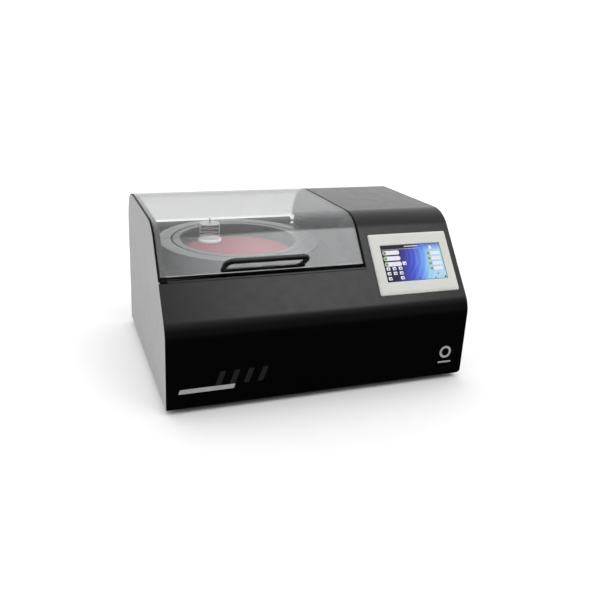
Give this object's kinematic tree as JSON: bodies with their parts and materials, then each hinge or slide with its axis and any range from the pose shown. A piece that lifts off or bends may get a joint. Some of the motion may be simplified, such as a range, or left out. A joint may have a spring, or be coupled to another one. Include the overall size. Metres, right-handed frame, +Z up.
{
  "type": "vibratory polisher",
  "caption": "Bench-top vibratory polishing machine: bent-sheet casing, clear hinged lid, cloth-covered vibrating bowl with a sample holder, and a sloping touch panel.",
  "frame": {"origin": "on the surface that the feet stand on, under the middle of the machine's box", "axes": "+Z up; the front with the touch panel faces -Y; +X is to the right for someone who stands in front"},
  "size_m": [0.7, 0.539, 0.372],
  "materials": {
    "panel_grey": "satin light grey paint",
    "cover_black": "satin black powder coat with a soft sheen",
    "deck_black": "satin black paint",
    "clear_acrylic": "clear polished acrylic",
    "rubber_black": "matt black rubber",
    "handle_black": "fine-textured black coating",
    "bowl_grey": "smooth mid grey plastic",
    "platen_metal": "turned aluminium",
    "cloth_pink": "short-napped pink polishing cloth",
    "white_plastic": "glossy white plastic",
    "bezel_grey": "light warm grey plastic",
    "screen": "lit touch screen",
    "black_plastic": "matt black plastic",
    "steel": "bright steel",
    "spring_steel": "blued spring steel",
    "cast_iron": "painted cast iron and laminated steel",
    "copper_coil": "enamelled copper wire",
    "board_green": "green circuit board",
    "zinc_plate": "zinc-plated steel"
  },
  "bodies": {
    "casing": {"side_panel_left": "panel_grey", "side_panel_right": "panel_grey", "front_cover": "cover_black", "rear_panel": "cover_black", "deck": "deck_black", "column_wall": "deck_black", "lid_rail_left": "deck_black", "foot_front_left": "rubber_black", "foot_front_right": "rubber_black", "foot_rear_left": "rubber_black", "foot_rear_right": "rubber_black", "lid_seal_left": "rubber_black", "lid_seal_right": "rubber_black", "lid_seal_front": "rubber_black", "lid_stop": "rubber_black", "splash_ring": "bowl_grey", "panel_bezel": "bezel_grey", "panel_screen": "screen", "panel_housing": "black_plastic", "fan_frame": "black_plastic", "fan_guard": "black_plastic", "mains_inlet": "black_plastic", "pivot_pin_left": "steel", "pivot_pin_right": "steel", "rear_screw_1": "steel", "rear_screw_2": "steel", "rear_screw_3": "steel", "rear_screw_4": "steel", "leaf_spring_1": "spring_steel", "leaf_spring_2": "spring_steel", "leaf_spring_3": "spring_steel", "drive_base": "cast_iron", "magnet_core": "cast_iron", "magnet_coil": "copper_coil", "control_board": "board_green", "base_plate": "zinc_plate", "power_supply": "zinc_plate", "board_rail_lower": "zinc_plate", "board_rail_upper": "zinc_plate"},
    "lid": {"lid_shell": "clear_acrylic", "lid_handle": "handle_black", "handle_screw_left": "steel", "handle_screw_right": "steel", "lid_arm_left": "clear_acrylic", "lid_arm_right": "clear_acrylic"},
    "platform": {"platform": "zinc_plate", "armature": "cast_iron"},
    "bowl": {"bowl": "bowl_grey", "platen": "platen_metal", "polishing_cloth": "cloth_pink"},
    "holder": {"holder_ring": "white_plastic"},
    "weight": {"holder_weight": "clear_acrylic", "holder_pin": "steel"},
    "rocker": {"rocker_switch": "black_plastic"},
    "drawer": {"fuse_drawer": "black_plastic"},
    "rotor": {"fan_rotor": "black_plastic"}
  },
  "joints": [
    {"name": "lid_hinge", "type": "hinge", "parent": "casing", "child": "lid", "pos_m": [0, 0.256, 0.2665], "axis": [-1, 0, 0], "range_deg": [0, 95]},
    {"name": "platform_twist", "type": "hinge", "parent": "casing", "child": "platform", "pos_m": [-0.1215, 0.015, 0.226], "axis": [0, 0, 1], "range_deg": [-1, 1], "stiffness_Nm_per_rad": 600, "deforming": ["leaf_spring_1", "leaf_spring_2", "leaf_spring_3"]},
    {"name": "bowl_lift", "type": "slide", "parent": "platform", "child": "bowl", "axis": [0, 0, 1], "range_m": [0, 0.02]},
    {"name": "holder_orbit", "type": "hinge", "parent": "bowl", "child": "holder", "pos_m": [-0.1215, 0.015, 0.2593], "axis": [0, 0, 1], "continuous": true},
    {"name": "weight_lift", "type": "slide", "parent": "holder", "child": "weight", "axis": [0, 0, 1], "range_m": [0, 0.015]},
    {"name": "rocker_tilt", "type": "hinge", "parent": "casing", "child": "rocker", "pos_m": [0.285, 0.2635, 0.0995], "axis": [-1, 0, 0], "range_deg": [0, 22]},
    {"name": "drawer_slide", "type": "slide", "parent": "casing", "child": "drawer", "axis": [0, 1, 0], "range_m": [0, 0.012]},
    {"name": "fan_spin", "type": "hinge", "parent": "casing", "child": "rotor", "pos_m": [0.19, 0.2612, 0.172], "axis": [0, 1, 0], "continuous": true}
  ]
}
